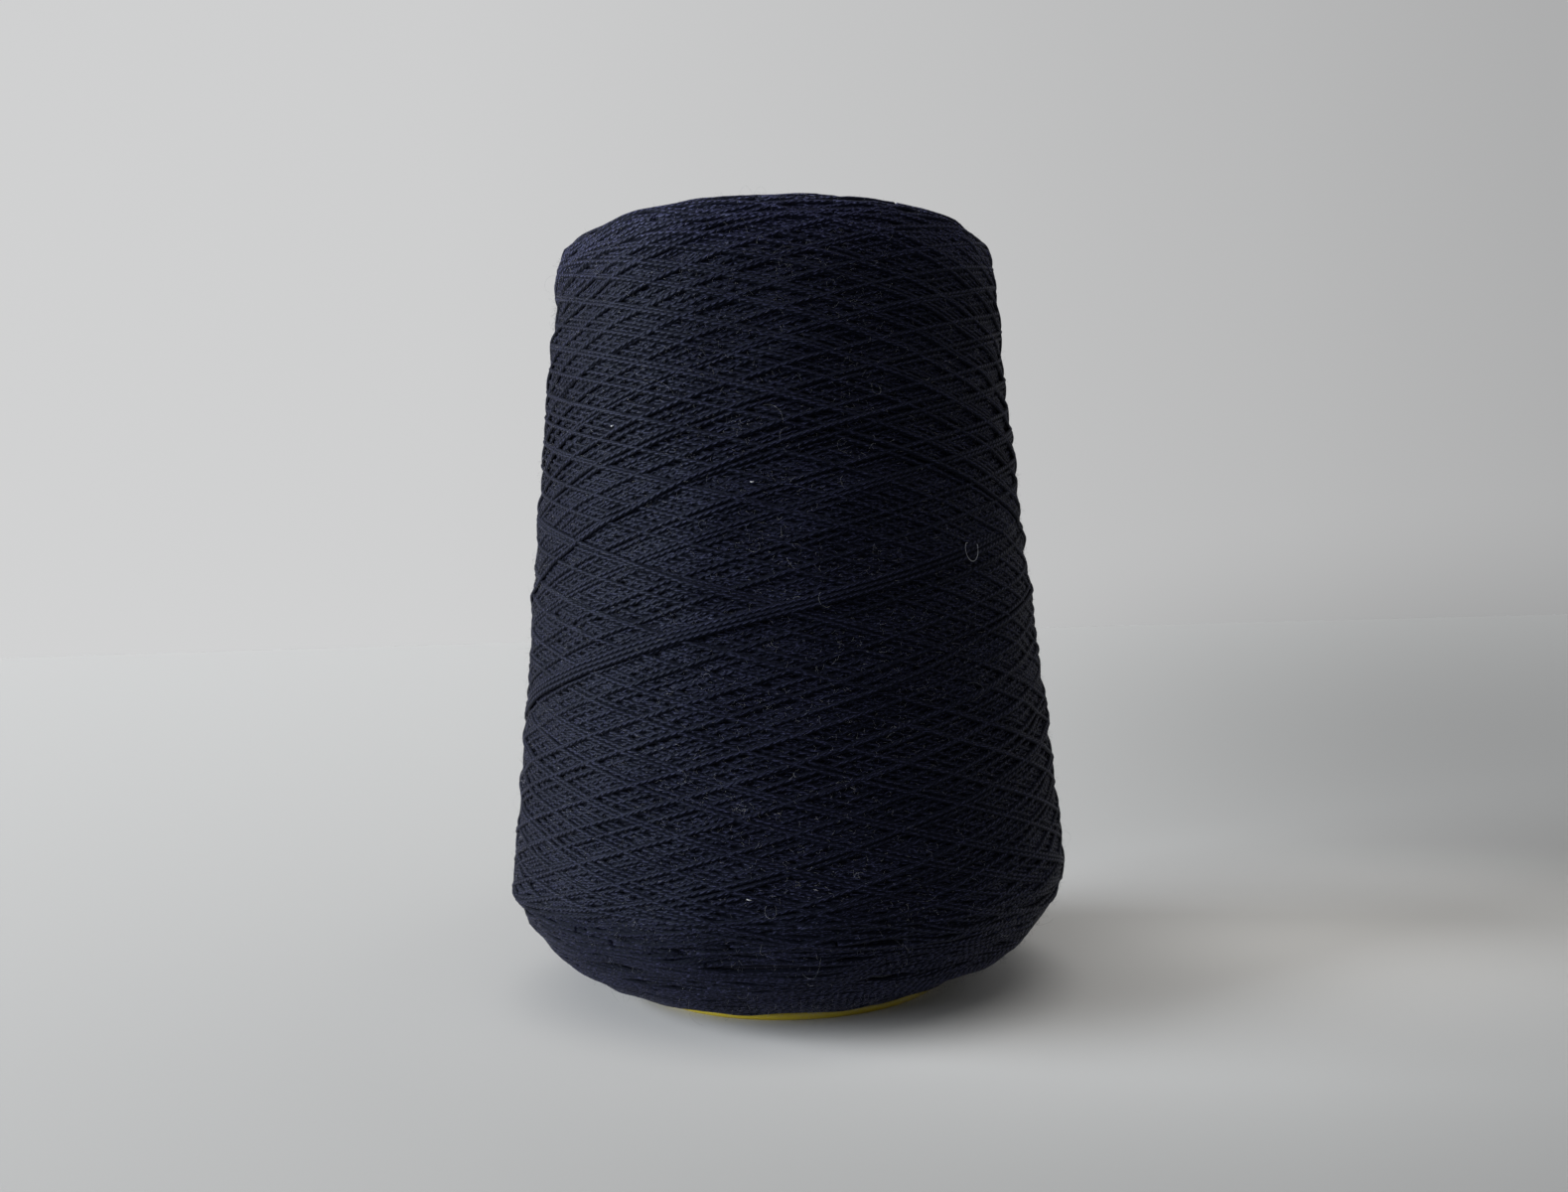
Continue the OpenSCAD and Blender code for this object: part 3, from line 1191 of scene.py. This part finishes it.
class StrandMesh:
    """Gathers tubes along runs of points and makes them one mesh with a map along the yarn."""

    MAP = "YarnMap"
    SHADE = "shade"

    def __init__(self, name: str, sides: int) -> None:
        """Starts an empty mesh.

        Args:
            name: The piece's name.
            sides: Faces round each tube.
        """
        self.name = name
        self.sides = sides
        self.vertices: list[Array] = []
        self.quads: list[Array] = []
        self.caps: list[Array] = []
        self.maps: list[Array] = []
        self.shades: list[Array] = []
        self.count = 0

    @property
    def triangles(self) -> int:
        """Triangles gathered so far."""
        return 2 * sum(len(q) for q in self.quads) + (self.sides - 2) * sum(len(c) for c in self.caps)

    def add(
        self,
        points: Array,
        out: Array,
        wide: float,
        tall: Array | float | None = None,
        shade: Array | float = 1.0,
    ) -> None:
        """Adds one tube, or many with as many points each.

        Args:
            points: The centre line, or one centre line per tube.
            out: A direction across the line at each point, for the tube's tall axis.
            wide: Half width across that direction.
            tall: Half height along it, one number or one per point. As wide, if not given.
            shade: How pale the tubes' colour is, about 1, for all or for each point. On the wound strands
                it is a random tone times painted light on the nose shoulder and base.
        """
        n, sides = points.shape[-2], self.sides
        tubes = points.size // (3 * n)
        points, out = (a.reshape(tubes, n, 3) for a in (points, out))
        along = np.gradient(points, axis=1)
        across = unit(np.cross(along, out))
        upright = unit(np.cross(across, along))
        angle = TURN * np.arange(sides) / sides
        tall = np.broadcast_to(wide if tall is None else tall, (tubes, n))
        ring = (
            points[:, :, None]
            + wide * np.sin(angle)[:, None] * across[:, :, None]
            + (tall[..., None] * np.cos(angle))[..., None] * upright[:, :, None]
        )
        self.vertices.append(ring.reshape(-1, 3))
        tube, i, j = np.meshgrid(np.arange(tubes), np.arange(n - 1), np.arange(sides), indexing="ij")
        first, following = (tube * n + i) * sides, (j + 1) % sides
        corners = [first + j, first + following, first + sides + following, first + sides + j]
        self.quads.append(np.stack(corners, axis=-1).reshape(-1, 4) + self.count)
        start = np.arange(tubes)[:, None] * n * sides + np.arange(sides)[::-1] + self.count
        self.caps.append(np.concatenate([start, start[:, ::-1] + (n - 1) * sides]))
        gaps = np.linalg.norm(np.diff(points, axis=1), axis=2) / MM
        length = np.concatenate([np.zeros((tubes, 1)), np.cumsum(gaps, axis=1)], axis=1)
        u0, u1 = j / sides, (j + 1) / sides
        v0, v1 = length[tube, i], length[tube, i + 1]
        self.maps.append(np.stack([u0, v0, u1, v0, u1, v1, u0, v1], axis=-1).reshape(-1, 2))
        self.shades.append(np.repeat(np.broadcast_to(shade, (tubes, n)).ravel(), sides))
        self.count += tubes * n * sides

    def build(self, material: bpy.types.Material, *stands_for: str) -> None:
        """Makes the piece at the origin, with smooth faces that point outwards.

        Args:
            material: The finish that it wears.
            stands_for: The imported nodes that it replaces.
        """
        quads, caps = np.concatenate(self.quads), np.concatenate(self.caps)
        mesh = bpy.data.meshes.new(self.name)
        mesh.vertices.add(self.count)
        mesh.vertices.foreach_set("co", np.concatenate(self.vertices).astype(np.float32).ravel())
        corners = np.concatenate([quads.ravel(), caps.ravel()])
        mesh.loops.add(len(corners))
        mesh.loops.foreach_set("vertex_index", corners.astype(np.int32))
        cap_starts = 4 * len(quads) + np.arange(len(caps)) * self.sides
        starts = np.concatenate([np.arange(len(quads)) * 4, cap_starts])
        mesh.polygons.add(len(starts))
        mesh.polygons.foreach_set("loop_start", starts.astype(np.int32))
        mesh.polygons.foreach_set("use_smooth", np.arange(len(starts)) < len(quads))
        flat = np.concatenate([*self.maps, np.zeros((caps.size, 2))])
        mesh.uv_layers.new(name=self.MAP).uv.foreach_set("vector", flat.astype(np.float32).ravel())
        shade = mesh.attributes.new(self.SHADE, "FLOAT", "POINT")
        shade.data.foreach_set("value", np.concatenate(self.shades).astype(np.float32))
        mesh.update(calc_edges=True)
        mesh.validate()
        mesh.materials.append(material)
        seat(link_new(self.name, mesh), "yarn", *stands_for)


def unit(vectors: Array) -> Array:
    """Vectors along the last axis, made one long."""
    return vectors / np.linalg.norm(vectors, axis=-1)[..., None]


def link_new(name: str, data: bpy.types.ID) -> bpy.types.Object:
    """Makes an object of a mesh, lamp or camera and puts it in the scene.

    Args:
        name: The object's name.
        data: Its mesh, lamp or camera.

    Returns:
        The new object.
    """
    made = bpy.data.objects.new(name, data)
    bpy.context.scene.collection.objects.link(made)
    return made


def add_circle(name: str, sides: int, radius: float, z: float, fill: str) -> bpy.types.Object:
    """Adds a ring or a disc, with nothing else selected, and opens it for editing.

    Args:
        name: The piece's name.
        sides: Points round it.
        radius: Its radius.
        z: Its height.
        fill: The fill type of the circle.

    Returns:
        The new object, at the origin.
    """
    bpy.ops.object.select_all(action="DESELECT")
    bpy.ops.mesh.primitive_circle_add(vertices=sides, radius=radius, fill_type=fill, location=(0, 0, z))
    circle = bpy.context.object
    circle.name = name
    bpy.ops.object.transform_apply(location=True, rotation=True, scale=True)
    bpy.ops.object.mode_set(mode="EDIT")
    bpy.ops.mesh.select_all(action="SELECT")
    return circle


def seat(piece: bpy.types.Object, slot: str, *stands_for: str) -> None:
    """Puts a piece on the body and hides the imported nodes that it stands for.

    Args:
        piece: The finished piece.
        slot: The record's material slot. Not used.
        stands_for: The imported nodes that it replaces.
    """
    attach(piece, BODY)
    if stands_for:
        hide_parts(*stands_for)
    LOG.info("%s: %d faces", piece.name, len(piece.data.polygons))


# ---- Sub-assemblies ----


@dataclass
class WoundYarn:
    """The yarn on the cone: crossing strokes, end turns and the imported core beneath."""

    outline: Meridian
    finish: YarnFinish = YarnFinish()
    core_finish: CoreFinish = CoreFinish()
    seed: int = 5
    sides: int = 6
    spacing: int = 5
    widen: float = 1.03
    flatten: float = 0.86
    plump_spread: float = 0.05
    shade_spread: float = 0.12
    shade_range: Numbers = (0.7, 1.35)
    most_triangles: int = 180_000
    core_depth: float = 0.86 * MM
    core_sides: int = 192
    core_rings: int = 70
    core_margin: float = 2 * MM
    # Painted light: where and how much paler the yarn is painted on the nose shoulder and at the base.
    painted_light_drop: float = 22 * MM
    painted_light_blend: float = 15 * MM
    nose_painted_light: float = 1.7
    base_painted_light: float = 0.2

    def build(self) -> bpy.types.Material:
        """Makes the strands in a few pieces and the core inside them.

        Returns:
            The strands' material.
        """
        winding = Winding(self.outline)
        runs = winding.settled()
        LOG.info("%d runs, %.1f m of yarn shown", len(runs), sum(len(r.phi) for r in runs) * winding.step)
        material = self.finish.material()
        random = np.random.default_rng(self.seed)
        for kind in StrokeKind:
            name, stands_for = kind.value
            number = 1
            mesh = StrandMesh(f"{name}_{number}", self.sides)
            for run in (r for r in runs if r.kind is kind):
                if mesh.triangles > self.most_triangles:
                    mesh.build(material, *stands_for)
                    number += 1
                    mesh = StrandMesh(f"{name}_{number}", self.sides)
                self._add_run(mesh, run, random)
            mesh.build(material, *stands_for)
        self._build_core(winding)
        return material

    def _add_run(self, mesh: StrandMesh, run: Stroke, random: np.random.Generator) -> None:
        """Adds one run of yarn to a mesh, thinned to the spacing that its curves need.

        Args:
            mesh: The mesh to add to.
            run: The run of yarn.
            random: Where the yarn's small differences are drawn from.
        """
        keep = np.unique(np.concatenate([np.arange(0, len(run.phi), self.spacing), [len(run.phi) - 1]]))
        phi, s = run.phi[keep], run.s[keep]
        points = self.outline.place(phi, s, run.height[keep])
        tall = YARN_RADIUS * self.flatten * (1 + self.plump_spread * random.normal(size=len(keep)))
        shade = float(np.clip(random.normal(1.0, self.shade_spread), *self.shade_range))
        out = self.outline.normal(phi, s)
        # The shade carries the strand's random tone times painted light on the nose shoulder and base.
        mesh.add(points, out, YARN_RADIUS * self.widen, tall, shade * self._painted_light(points[:, 2]))

    def _painted_light(self, z: Array) -> Array:
        """How much paler the yarn is painted, most of all on the nose shoulder: painted light for the light
        that falls on the shoulder, and a little at the base.

        Args:
            z: Heights of points on the yarn.

        Returns:
            What the colour is multiplied by at each.
        """
        nose = np.clip((z - self.outline.crest_height + self.painted_light_drop) / self.painted_light_blend, 0, 1)
        base = np.clip((self.outline.belly_height - z) / self.painted_light_blend, 0, 1)
        return 1 + self.nose_painted_light * nose ** 2 * (3 - 2 * nose) + self.base_painted_light * base

    def _build_core(self, winding: Winding) -> None:
        """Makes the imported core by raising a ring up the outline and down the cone's taper.

        Args:
            winding: The winding round it, whose swells it follows.
        """
        outline = self.outline
        places = np.linspace(self.core_margin, outline.length - self.core_margin, self.core_rings)
        inset = outline.points - outline.normals * self.core_depth
        rings = [[np.interp(p, outline.run, inset[:, k]) for k in (0, 1)] for p in places]
        rings += [[outline.dish_radius, rings[-1][1]], [outline.foot_radius, rings[0][1]]]
        radius, z = rings[0]
        core = add_circle("packed_core", self.core_sides, radius, z, "NOTHING")
        for next_radius, next_z in rings[1:]:
            bpy.ops.mesh.extrude_edges_move(TRANSFORM_OT_translate={"value": (0, 0, next_z - z)})
            ratio = next_radius / radius
            bpy.ops.transform.resize(value=(ratio, ratio, 1), center_override=(0, 0, next_z))
            radius, z = next_radius, next_z
        bpy.ops.mesh.select_all(action="DESELECT")
        bpy.ops.mesh.select_non_manifold()
        bpy.ops.mesh.bridge_edge_loops()
        bpy.ops.mesh.select_all(action="SELECT")
        bpy.ops.mesh.normals_make_consistent(inside=False)
        bpy.ops.mesh.faces_shade_smooth()
        bpy.ops.object.mode_set(mode="OBJECT")
        spots = np.zeros(3 * len(core.data.vertices))
        core.data.vertices.foreach_get("co", spots)
        shown = spots.reshape(-1, 3)[:self.core_sides * self.core_rings]
        s = np.repeat(places, self.core_sides)
        phi = np.arctan2(shown[:, 1], shown[:, 0])
        shown += outline.normal(phi, s) * winding.unevenness(phi, s)[:, None]
        core.data.vertices.foreach_set("co", spots)
        core.data.update()
        core.data.materials.append(self.core_finish.material())
        seat(core, "yarn", "yarn_package")


@dataclass(frozen=True)
class Fuzz:
    """One kind of loose fibre, scattered over the package."""

    name: str
    count: int
    radius: float
    shortest: float
    longest: float
    curl: float
    lift: float
    finish: FibreFinish
    seed: int
    points: int
    root_depth: float = 0.35 * MM
    heading_spread: float = 0.75
    short_bias: float = 2.5
    least_rise: float = 0.15
    droops: Numbers = (0.3, 1.4)

    def build(self, outline: Meridian) -> None:
        """Scatters the fibres over the package.

        Args:
            outline: The wound body's outline.
        """
        draw, count = np.random.default_rng(self.seed), self.count
        evenly = np.cumsum(outline.points[:, 0])
        s = np.interp(draw.random(count), evenly / evenly[-1], outline.run)
        phi = draw.uniform(0, TURN, count)
        root = outline.place(phi, s, np.full(count, -self.root_depth))
        out, level, steep = outline.directions(phi, s)
        heading = draw.normal(0, self.heading_spread, count) + (draw.random(count) < 0.5) * math.pi
        flat = level * np.cos(heading)[:, None] + steep * np.sin(heading)[:, None]
        side = np.cross(out, flat)
        length = self.shortest + (self.longest - self.shortest) * draw.random(count) ** self.short_bias
        rise = draw.uniform(self.least_rise, 1.0, count) * self.lift
        bend = draw.normal(0, self.curl, count)
        droop = draw.uniform(*self.droops, count)
        t = np.linspace(0, 1, self.points)
        swing = bend[:, None] * t
        ahead = np.cumsum(np.cos(swing), axis=1) / self.points
        aside = np.cumsum(np.sin(swing), axis=1) / self.points
        height = np.sin(t * droop[:, None] * math.pi / self.droops[1]) * rise[:, None]
        line = (
            flat[:, None] * (ahead * np.cos(rise)[:, None])[..., None]
            + side[:, None] * aside[..., None]
            + out[:, None] * height[..., None]
        )
        line = root[:, None] + (line - line[:, :1]) * length[:, None, None]
        mesh = StrandMesh(self.name, sides=3)
        mesh.add(line, np.broadcast_to(out[:, None], line.shape), self.radius)
        mesh.build(self.finish.material())


@dataclass(frozen=True)
class LooseCurl:
    """A longer fibre that has sprung out of the yarn in a loop."""

    angle: float = -48.2
    height: float = 94.2 * MM
    radius: float = 0.045 * MM
    loop: float = 1.5 * MM
    opening: Numbers = (0.5, 0.6)
    stretch: float = 1.5
    sag: float = 1.2
    turns: float = 1.35
    root_depth: float = 0.6 * MM
    rise: float = 2.2 * MM
    points: int = 40
    finish: FibreFinish = FibreFinish("curled_fibre", (0.30, 0.32, 0.38))

    def build(self, outline: Meridian) -> None:
        """Makes the fibre, from inside the yarn out into its loop.

        Args:
            outline: The wound body's outline.
        """
        t = np.linspace(0, 1, self.points)
        turned = TURN * self.turns * t
        wide = self.loop * (self.opening[0] + self.opening[1] * t)
        phi = np.full(self.points, math.radians(self.angle))
        s = np.full(self.points, outline.run_at_height(self.height))
        root = outline.place(phi, s, self.rise * t - self.root_depth)
        out, level, steep = outline.directions(phi, s)
        sideways = wide * np.sin(turned)
        upwards = self.stretch * wide * (1 - np.cos(turned)) - self.sag * self.loop * t
        mesh = StrandMesh("loose_curl", sides=5)
        mesh.add(root + level * sideways[:, None] + steep * upwards[:, None], out, self.radius)
        mesh.build(self.finish.material())


@dataclass(frozen=True)
class Lint:
    """Pale specks of lint: each one's angle in degrees, and height and half length in millimetres."""

    places: tuple[tuple[float, float, float], ...] = (
        (-86.0, 148.7, 0.45),
        (-27.8, 154.1, 0.35),
        (-95.3, 108.6, 0.3),
        (-96.9, 30.5, 0.6),
        (-128.0, 122.0, 0.3),
        (-60.0, 61.0, 0.3),
        (15.0, 84.0, 0.4),
        (110.0, 47.0, 0.4),
    )
    points: int = 5
    bow: float = 0.4
    rise: float = 0.15 * MM
    radius: float = 0.10 * MM
    finish: FibreFinish = FibreFinish("lint", (0.50, 0.51, 0.54))

    def build(self, outline: Meridian) -> None:
        """Makes a short bent wisp at each place.

        Args:
            outline: The wound body's outline.
        """
        mesh = StrandMesh("lint", sides=6)
        t = np.linspace(-1, 1, self.points)
        for angle, height, half in self.places:
            s = outline.run_at_height(height * MM) + half * MM * self.bow * t ** 2
            phi = math.radians(angle) + half * MM * t / outline.radius(s)
            points = outline.place(phi, s, self.rise * (1 - t ** 2))
            mesh.add(points, outline.normal(phi, s), self.radius)
        mesh.build(self.finish.material())


@dataclass(frozen=True)
class StartingTail:
    """The first turns of the yarn, in the groove at the foot."""

    low_z: float
    high_z: float
    radius: float
    turns: int = 3
    points_per_turn: int = 72

    def build(self, material: bpy.types.Material) -> None:
        """Makes the helix from the notch at the back.

        Args:
            material: The yarn's finish.
        """
        steps = np.arange(self.turns * self.points_per_turn + 1)
        angle = TURN / 4 + TURN * steps / self.points_per_turn
        z = np.linspace(self.low_z + YARN_RADIUS, self.high_z - YARN_RADIUS, len(steps))
        reach = self.radius - YARN_RADIUS
        points = np.stack([reach * np.cos(angle), reach * np.sin(angle), z], axis=1)
        out = np.stack([np.cos(angle), np.sin(angle), 0 * angle], axis=1)
        mesh = StrandMesh("starting_turns", sides=8)
        mesh.add(points, out, YARN_RADIUS)
        mesh.build(material, "starting_tail")


@dataclass(frozen=True)
class MouldedCone:
    """The yellow cone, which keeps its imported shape."""

    finish: MouldedFinish = MouldedFinish()

    def build(self) -> None:
        """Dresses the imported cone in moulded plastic."""
        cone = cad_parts["cone"]
        material = self.finish.material()
        if not cone.material_slots:
            cone.data.materials.append(material)
        for slot in cone.material_slots:
            slot.material = material
        LOG.info("cone: dressed")


@dataclass(frozen=True)
class Lamp:
    """One far, soft lamp that lights the whole floor alike.

    Its width is the angle that it fills, its tilt is how far from straight down it shines, and
    its turn is the side that it shines from, round from the left towards the camera.
    """

    name: str
    power: float
    width: float
    tilt: float
    turn: float
    colour: Numbers

    def build(self) -> None:
        """Adds the lamp."""
        lamp = bpy.data.lights.new(self.name, "SUN")
        lamp.energy = self.power
        lamp.angle = math.radians(self.width)
        lamp.color = self.colour
        link_new(self.name, lamp).rotation_euler = (0.0, math.radians(-self.tilt), math.radians(self.turn))


@dataclass(frozen=True)
class Studio:
    """Floor, lamps, world and camera."""

    lens: float = 28.7
    sensor: float = 36.0
    pitch: float = -1.45
    pan: float = 0.10
    roll: float = -1.61
    floor_radius: float = 14.0
    floor_sides: int = 128
    floor_border: float = 7.0
    surround_colour: Numbers = (1.0, 0.99, 0.98, 1.0)
    surround_strength: float = 0.26
    lamps: tuple[Lamp, ...] = (
        Lamp("window", 7.9, 42, 76, 12, (0.92, 0.955, 1.0)),
        Lamp("near_window", 0.06, 50, 68, 55, (0.97, 0.98, 1.0)),
        Lamp("skylight", 1.2, 60, 20, 72, (1.0, 0.975, 0.935)),
    )

    def build(self) -> None:
        """Sets the stage: a broad low light from the left and soft ones in front and overhead."""
        self._floor()
        for lamp in self.lamps:
            lamp.build()
        self._world()
        self._camera()
        bpy.context.scene.view_settings.view_transform = "Standard"

    def _floor(self) -> None:
        """A wide round floor, far larger than the view."""
        floor = add_circle("floor", self.floor_sides, self.floor_radius, 0.0, "NGON")
        bpy.ops.mesh.inset(thickness=self.floor_border)
        bpy.ops.object.mode_set(mode="OBJECT")
        floor.data.materials.append(FloorFinish().material())

    def _world(self) -> None:
        """A dim even surround that lights the scene, which the camera sees as a pale backdrop with the
        painted light falloff and painted shadow of the paper.
        """
        world = bpy.data.worlds.new("surround")
        bpy.context.scene.world = world
        world.use_nodes = True
        kit = NodeKit(world.node_tree)
        seen = kit.add("ShaderNodeLightPath", output="Is Camera Ray")
        way = kit.add("ShaderNodeTexCoord", output="Generated")
        backdrop = PaleSurround().colour(kit, way, 1.0)
        lit = {"Color": self.surround_colour, "Strength": self.surround_strength}
        dim = kit.add("ShaderNodeBackground", None, lit)
        pale = kit.add("ShaderNodeBackground", None, {"Color": backdrop, "Strength": 1.0})
        kit.end("ShaderNodeOutputWorld", kit.add("ShaderNodeMixShader", None, {0: seen, 1: dim, 2: pale}))

    def _camera(self) -> None:
        """The camera, close to the object at half its height and turned so that the cone leans left."""
        data = bpy.data.cameras.new("camera")
        data.lens = self.lens
        data.sensor_width = self.sensor
        camera = link_new("camera", data)
        camera.location = EYE
        camera.rotation_mode = "QUATERNION"
        aim = Quaternion((0.0, 0.0, 1.0), math.radians(-self.pan))
        look = Quaternion((1.0, 0.0, 0.0), math.radians(90 - self.pitch))
        tilt = Quaternion((0.0, 0.0, 1.0), math.radians(self.roll))
        camera.rotation_quaternion = aim @ look @ tilt
        bpy.context.scene.camera = camera


HAZE = FibreFinish("short_fibres", (0.064, 0.069, 0.108))
WISP = FibreFinish("long_fibres", (0.11, 0.12, 0.15))
SHORT_FUZZ = (13500, 0.011 * MM, 0.5 * MM, 2.6 * MM, 1.2, 0.8, HAZE)
FUZZES = (
    *(Fuzz(f"short_fuzz_{number}", *SHORT_FUZZ, 19 + 2 * number, points=3) for number in (1, 2, 3)),
    Fuzz("long_fuzz", 340, 0.012 * MM, 2.5 * MM, 8.0 * MM, 3.0, 0.6, WISP, 22, points=11),
)
BELLY_HEIGHT = 26.3 * MM
TAPER = math.tan(math.radians(5.95))
BEAD_OUT = 0.3 * MM
DISH_DROP = 4 * MM


def read_outline() -> Meridian:
    """Reads the wound body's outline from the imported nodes' boxes.

    Returns:
        The outline.
    """
    cone_high, package_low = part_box("cone")[1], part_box("yarn_package")[0]
    foot_z, dish_z = package_low.z, cone_high.z - DISH_DROP
    taper_foot = cone_high.x - BEAD_OUT
    return Meridian(
        belly_radius=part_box("outer_wraps")[1].x,
        belly_height=BELLY_HEIGHT,
        foot_radius=taper_foot - foot_z * TAPER + BEAD_OUT,
        foot_height=foot_z,
        crest_height=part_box("yarn_package")[1].z,
        dish_radius=taper_foot - dish_z * TAPER + BEAD_OUT,
        dish_height=dish_z,
    )


def main() -> None:
    """Builds the object's pieces in order, and the stage round them."""
    logging.basicConfig(level=logging.INFO, format="%(name)s: %(message)s")
    outline = read_outline()
    tail_low, tail_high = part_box("starting_tail")
    Studio().build()
    yarn = WoundYarn(outline).build()
    for loose in (*FUZZES, LooseCurl(), Lint()):
        loose.build(outline)
    StartingTail(tail_low.z, tail_high.z, tail_high.x).build(yarn)
    MouldedCone().build()


if __name__ == "__main__":
    main()
